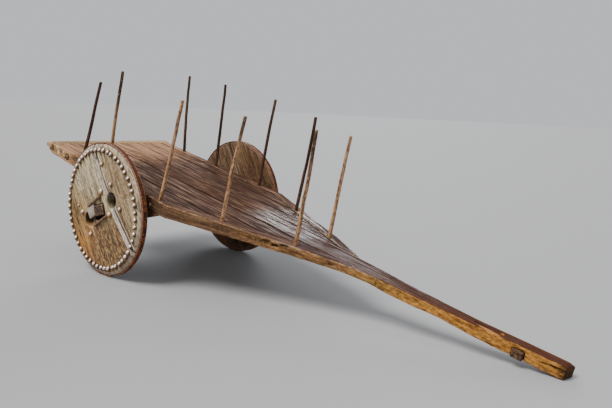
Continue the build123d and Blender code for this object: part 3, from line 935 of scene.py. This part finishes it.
def dome_mesh(profile, segments):
    """Points and faces of a dome: profile is (radius, height), from the rim to the crown."""
    points = []
    faces = []
    for radius, height in profile[:-1]:
        for k in range(segments):
            turn = 2 * math.pi * k / segments
            points.append((radius * math.cos(turn), radius * math.sin(turn), height))
    crown = len(points)
    points.append((0, 0, profile[-1][1]))
    last = crown - segments
    for ring in range(0, last, segments):
        for k in range(segments):
            a = ring + k
            b = ring + (k + 1) % segments
            faces.append((a, b, b + segments, a + segments))
    for k in range(segments):
        faces.append((last + k, last + (k + 1) % segments, crown))
    faces.append(tuple(range(segments - 1, -1, -1)))
    return np.array(points), faces


def face_height(radius):
    """How far the wheel's outer face stands out at a radius."""
    flat_edge = WOOD_RADIUS - RIM_FLAT_WIDTH
    share = np.clip((radius - HUB_FLAT_RADIUS) / (flat_edge - HUB_FLAT_RADIUS), 0, 1)
    return HUB_BULGE + (RIM_RISE - HUB_BULGE) * share


def upward_in(matrix):
    """The direction up, as the cart stands, in a local frame."""
    return np.array(matrix.to_3x3().inverted() @ Vector((0, 0, 1)))


# Profile of a hammered head whose radius and height are 1
HEAD_PROFILE = ((1.0, -0.12), (1.0, 0.08), (0.95, 0.36), (0.82, 0.63), (0.6, 0.84), (0.32, 0.96), (0, 1.0))
# How much the heads differ in size, and how far their crowns stray
HEAD_SIZES = (0.94, 1.07)
HEAD_LEAN = 0.12
# Reach of the random shifts that give each head its own lumps
LUMP_SHIFT = 50


def nail_heads(name, heads, matrix, material, body, replaced=(), segments=14):
    """Forged domed heads in one piece, worn at the crown and with a painted highlight where they face
    up as the cart stands. A head is (x, y, z, radius, height, rust)."""
    base, faces = dome_mesh(HEAD_PROFILE, segments)
    # Painted highlight: paler where a head faces up as the cart stands, besides wear at the crown
    painted_upward_highlight = base @ upward_in(matrix)
    rubbed = np.clip(base[:, 2] * 1.5 - 0.7 + 0.85 * painted_upward_highlight, -1, 1)
    rng = np.random.default_rng(7)
    all_points = []
    all_faces = []
    rusted = []
    for x, y, z, radius, height, rust in heads:
        lumps = value_noise(base + rng.uniform(0, LUMP_SHIFT, 3), (1.3, 1.3, 1.3), 2)
        points = base * (radius, radius, height) * rng.uniform(*HEAD_SIZES)
        points[:, :2] *= (1 + 0.07 * lumps)[:, None]
        points[:, 2] *= 1 + 0.1 * value_noise(base + rng.uniform(0, LUMP_SHIFT, 3), (1.6, 1.6, 1.6), 3)
        points[:, 0] += points[:, 2] * rng.uniform(-HEAD_LEAN, HEAD_LEAN)
        points[:, 1] += points[:, 2] * rng.uniform(-HEAD_LEAN, HEAD_LEAN)
        offset = len(all_points) * len(base)
        all_points.append(points + (x, y, z))
        all_faces += [tuple(v + offset for v in face) for face in faces]
        rusted.append(np.full(len(base), rust))
    mesh = bpy.data.meshes.new(name)
    co = np.concatenate(all_points)
    mesh.from_pydata(co.tolist(), [], all_faces)
    put_attribute(mesh, "place", co)
    put_attribute(mesh, "grain", co)
    # The crown's wear and the painted highlight both go into the worn attribute
    put_attribute(mesh, "worn", np.tile(rubbed, len(all_points)))
    put_attribute(mesh, "rust", np.concatenate(rusted))
    to_frame(mesh, matrix)
    return finish_piece(link(name, mesh), material, body, replaced)


# Studs of the rim: radius and height of a head, and how far one strays round the ring and out of it
STUD_RADIUS = 0.0218
STUD_HEIGHT = 0.021
STUD_STRAY_TURN = 0.012
STUD_STRAY_OUT = 0.003
STUD_CIRCLE = WOOD_RADIUS - (RIM_FLAT_WIDTH + RIM_BEVEL) / 2

# Forged nails in the face of the wheels: x, y, radius, height, rust
FACE_NAILS = (
    (0.2126, 0.3072, 0.0215, 0.019, 0.6),
    (0.2532, 0.1077, 0.0200, 0.018, 0.2),
    (0.1006, 0.1154, 0.0260, 0.023, 0.7),
    (0.2683, -0.1105, 0.0205, 0.018, 0.3),
    (0.1185, -0.0943, 0.0260, 0.023, 0.6),
    (-0.2526, 0.0888, 0.0215, 0.018, 0.5),
    (-0.2885, 0.1637, 0.0140, 0.010, 0.5),
    (-0.2324, -0.1196, 0.0210, 0.017, 0.95),
)

for side, seed in (("right", 3), ("left", 4)):
    studs = []
    rng = np.random.default_rng(seed)
    for k in range(STUD_COUNT):
        turn = 2 * math.pi * k / STUD_COUNT + rng.uniform(-STUD_STRAY_TURN, STUD_STRAY_TURN)
        radius = STUD_CIRCLE + rng.uniform(-STUD_STRAY_OUT, STUD_STRAY_OUT)
        size = STUD_RADIUS * rng.uniform(0.93, 1.06)
        rust = rng.uniform(0, 0.2)
        studs.append((radius * math.cos(turn), radius * math.sin(turn), RIM_RISE, size, STUD_HEIGHT, rust))
    nail_heads(f"rim_studs_{side}", studs, WHEEL[side], stud_iron, "wheelset",
               (f"wheel_{side}_rim_studs",))
for side in SIDES:
    nails = [(x, y, face_height(math.hypot(x, y)), *rest) for x, y, *rest in FACE_NAILS]
    nail_heads(f"face_nails_{side}", nails, WHEEL[side], stud_iron, "wheelset", (), 16)

# Head of a wooden pin in the right beam's outer face
BEAM_PIN = (0.449, 0.189, 0.6415, 0.016, 0.007, 0.0)
nail_heads("beam_pin", (BEAM_PIN,), RIGHT_FLANK, tail_wood, "frame")

TYRE_STEPS = 220
TYRE_INNER = WHEEL_RADIUS - TYRE_THICKNESS
TYRE_HALF = TYRE_WIDTH / 2
# Rounded corners of the tyre's section: rise over its inner side, distance from its edge, wear
TYRE_CORNER = ((0.003, 0.0, 0.3), (0.0075, 0.0005, 0.8), (0.0098, 0.004, 0.9))
# Tread between them: share of the half width, wear
TYRE_TREAD = ((0.5, 0.2), (0.0, 0.0), (-0.5, 0.2))


def tyre_section():
    """Radius, place across and wear of the points round the tyre's section."""
    section = [(TYRE_INNER, TYRE_HALF * share, 0.0) for share in (-1, 0, 1)]
    section += [(TYRE_INNER + rise, TYRE_HALF - back, wear) for rise, back, wear in TYRE_CORNER]
    section += [(WHEEL_RADIUS, TYRE_HALF * share, wear) for share, wear in TYRE_TREAD]
    section += [(TYRE_INNER + rise, back - TYRE_HALF, wear) for rise, back, wear in reversed(TYRE_CORNER)]
    return np.array(section).T


def tyre(side):
    """Forged tyre band: a rounded section swept round the wheel, its edges beaten uneven."""
    radii, across, wear = tyre_section()
    count = len(radii)
    rings = []
    for k in range(TYRE_STEPS):
        turn = 2 * math.pi * k / TYRE_STEPS
        rings.append(np.column_stack([radii * math.cos(turn), radii * math.sin(turn), across]))
    place = np.concatenate(rings)
    radial = place * (1, 1, 0)
    radial /= np.linalg.norm(radial, axis=1)[:, None]
    outer = np.tile(radii > TYRE_INNER + 0.002, TYRE_STEPS).astype(float)
    beat = layered_noise(place, 0, ((0.6, (14, 14, 30), 5), (0.4, (40, 40, 60), 6)))
    co = place - radial * (outer * (0.0006 + 0.0006 * beat))[:, None]
    sideways = value_noise(co, (11, 11, 3), 8) * 0.0014 * np.abs(np.tile(across, TYRE_STEPS)) / TYRE_HALF
    co[:, 2] += sideways * np.sign(co[:, 2])
    co[:, 2] -= RIM_THICKNESS / 2
    faces = []
    for k in range(TYRE_STEPS):
        this, following = k * count, (k + 1) % TYRE_STEPS * count
        for m in range(count):
            n = (m + 1) % count
            faces.append((this + m, this + n, following + n, following + m))
    mesh = bpy.data.meshes.new(f"tyre_{side}")
    mesh.from_pydata(co.tolist(), [], faces)
    put_attribute(mesh, "place", place)
    put_attribute(mesh, "worn", np.tile(wear, TYRE_STEPS) - 0.2)
    # Painted shade: the side that faces up as the cart stands is dull and dark
    put_attribute(mesh, "dirt_and_shade", 0.75 * smoothstep(radial @ upward_in(WHEEL[side]), 0.1, 0.8))
    made = bmesh.new()
    made.from_mesh(mesh)
    bmesh.ops.recalc_face_normals(made, faces=made.faces)
    made.to_mesh(mesh)
    made.free()
    to_frame(mesh, WHEEL[side])
    piece = link(f"tyre_{side}", mesh)
    return finish_piece(piece, tyre_iron, "wheelset", (f"wheel_{side}_tyre",))


for side in SIDES:
    tyre(side)

# Stakes: each follows its solid, with a crooked run above its socket
STAKE_WOOD = {
    ("right", 2): stake_half,
    ("right", 3): stake_tan,
    ("right", 4): stake_capped,
    ("right", 5): stake_half,
    ("left", 5): stake_tan,
}
# Crook of a stake across each of its two sides: how far, bends per metre, seed shift
CROOK_LAYERS = (
    ((0.004, (3.5, 1, 1), 0), (0.0016, (12, 1, 1), 1)),
    ((0.0035, (4, 1, 1), 2), (0.0016, (11, 1, 1), 3)),
)


def stake_frame(node):
    """Frame of a stake: x up along it, from its foot."""
    co = vertices(nodes[node].data)
    centre = co.mean(axis=0)
    axis = np.linalg.svd(co - centre, full_matrices=False)[2][0]
    axis = axis * np.sign(axis[2])
    foot = centre + axis * ((co - centre) @ axis).min()
    up = Vector(axis)
    side_axis = left.cross(up).normalized()
    return axes(up, side_axis.cross(up) * -1, side_axis, Vector(foot))


def stake_crook(seed):
    """The crooked run of a stake."""

    def crook(points):
        out = points.copy()
        free = smoothstep(points[:, 0], 0.1, 0.3)
        run = points[:, 0][:, None] * (1, 0, 0) + (seed * 3.1, 0, 0)
        for k, layers in enumerate(CROOK_LAYERS, 1):
            out[:, k] += free * layered_noise(run, seed, layers)
        return out

    return crook


all_stakes = [(side, index) for side in SIDES for index in (1, 2, 3, 4, 5)]
for number, (side, index) in enumerate(all_stakes):
    node = f"stake_{side}_{index}"
    wood = STAKE_WOOD.get((side, index), stake_dark)
    weather(node, stake_frame(node), wood, "frame", voxel=0.0045, wear=0.002, swell=0.0009,
            seed=80 + number, shape=stake_crook(number))

# Floor, light and camera
FLOOR_REACH = 300
floor_mesh = bpy.data.meshes.new("studio_floor")
floor_corners = [(x * FLOOR_REACH, y * FLOOR_REACH, 0) for x, y in ((-1, -1), (1, -1), (1, 1), (-1, 1))]
floor_mesh.from_pydata(floor_corners, [], [(0, 1, 2, 3)])
floor = link("studio_floor", floor_mesh)
floor_paint = Paint("studio_floor")
floor_shader = floor_paint.node("BsdfPrincipled", {"Base Color": rgb(156, 156, 158), "Roughness": 0.85})
floor_paint.node("OutputMaterial", {"Surface": floor_shader.outputs[0]})
floor_mesh.materials.append(floor_paint.material)


def soft_sun(name, towards, energy, spread, colour):
    """A broad soft light from the direction towards, spread in degrees."""
    data = bpy.data.lights.new(name, "SUN")
    data.energy = energy
    data.angle = math.radians(spread)
    data.color = colour
    lamp = bpy.data.objects.new(name, data)
    lamp.rotation_euler = Vector(towards).to_track_quat("Z", "Y").to_euler()
    bpy.context.scene.collection.objects.link(lamp)


soft_sun("overhead", (-0.2, -0.55, 0.95), energy=4.0, spread=30, colour=(1.0, 0.98, 0.95))
soft_sun("far_side", (-0.53, 0.755, 0.42), energy=0.9, spread=24, colour=(0.93, 0.97, 1.0))

world = bpy.data.worlds.new("studio")
world.use_nodes = True
sky = world.node_tree.nodes["Background"]
sky.inputs["Color"].default_value = (0.86, 0.89, 0.92, 1)
sky.inputs["Strength"].default_value = 0.75
bpy.context.scene.world = world

camera_data = bpy.data.cameras.new("camera")
camera_data.sensor_width = 36
camera_data.sensor_fit = "HORIZONTAL"
camera_data.lens = 36.321
camera_data.clip_end = 2 * FLOOR_REACH
camera = bpy.data.objects.new("camera", camera_data)
camera_place = Vector((3.28264, -3.48247, 1.42054))
forward = Vector((-0.639107, 0.754671, -0.148374))
camera_up = Vector((-0.131359, 0.082977, 0.987856))
camera.matrix_world = axes(forward.cross(camera_up), camera_up, -forward, camera_place)
bpy.context.scene.collection.objects.link(camera)
bpy.context.scene.camera = camera
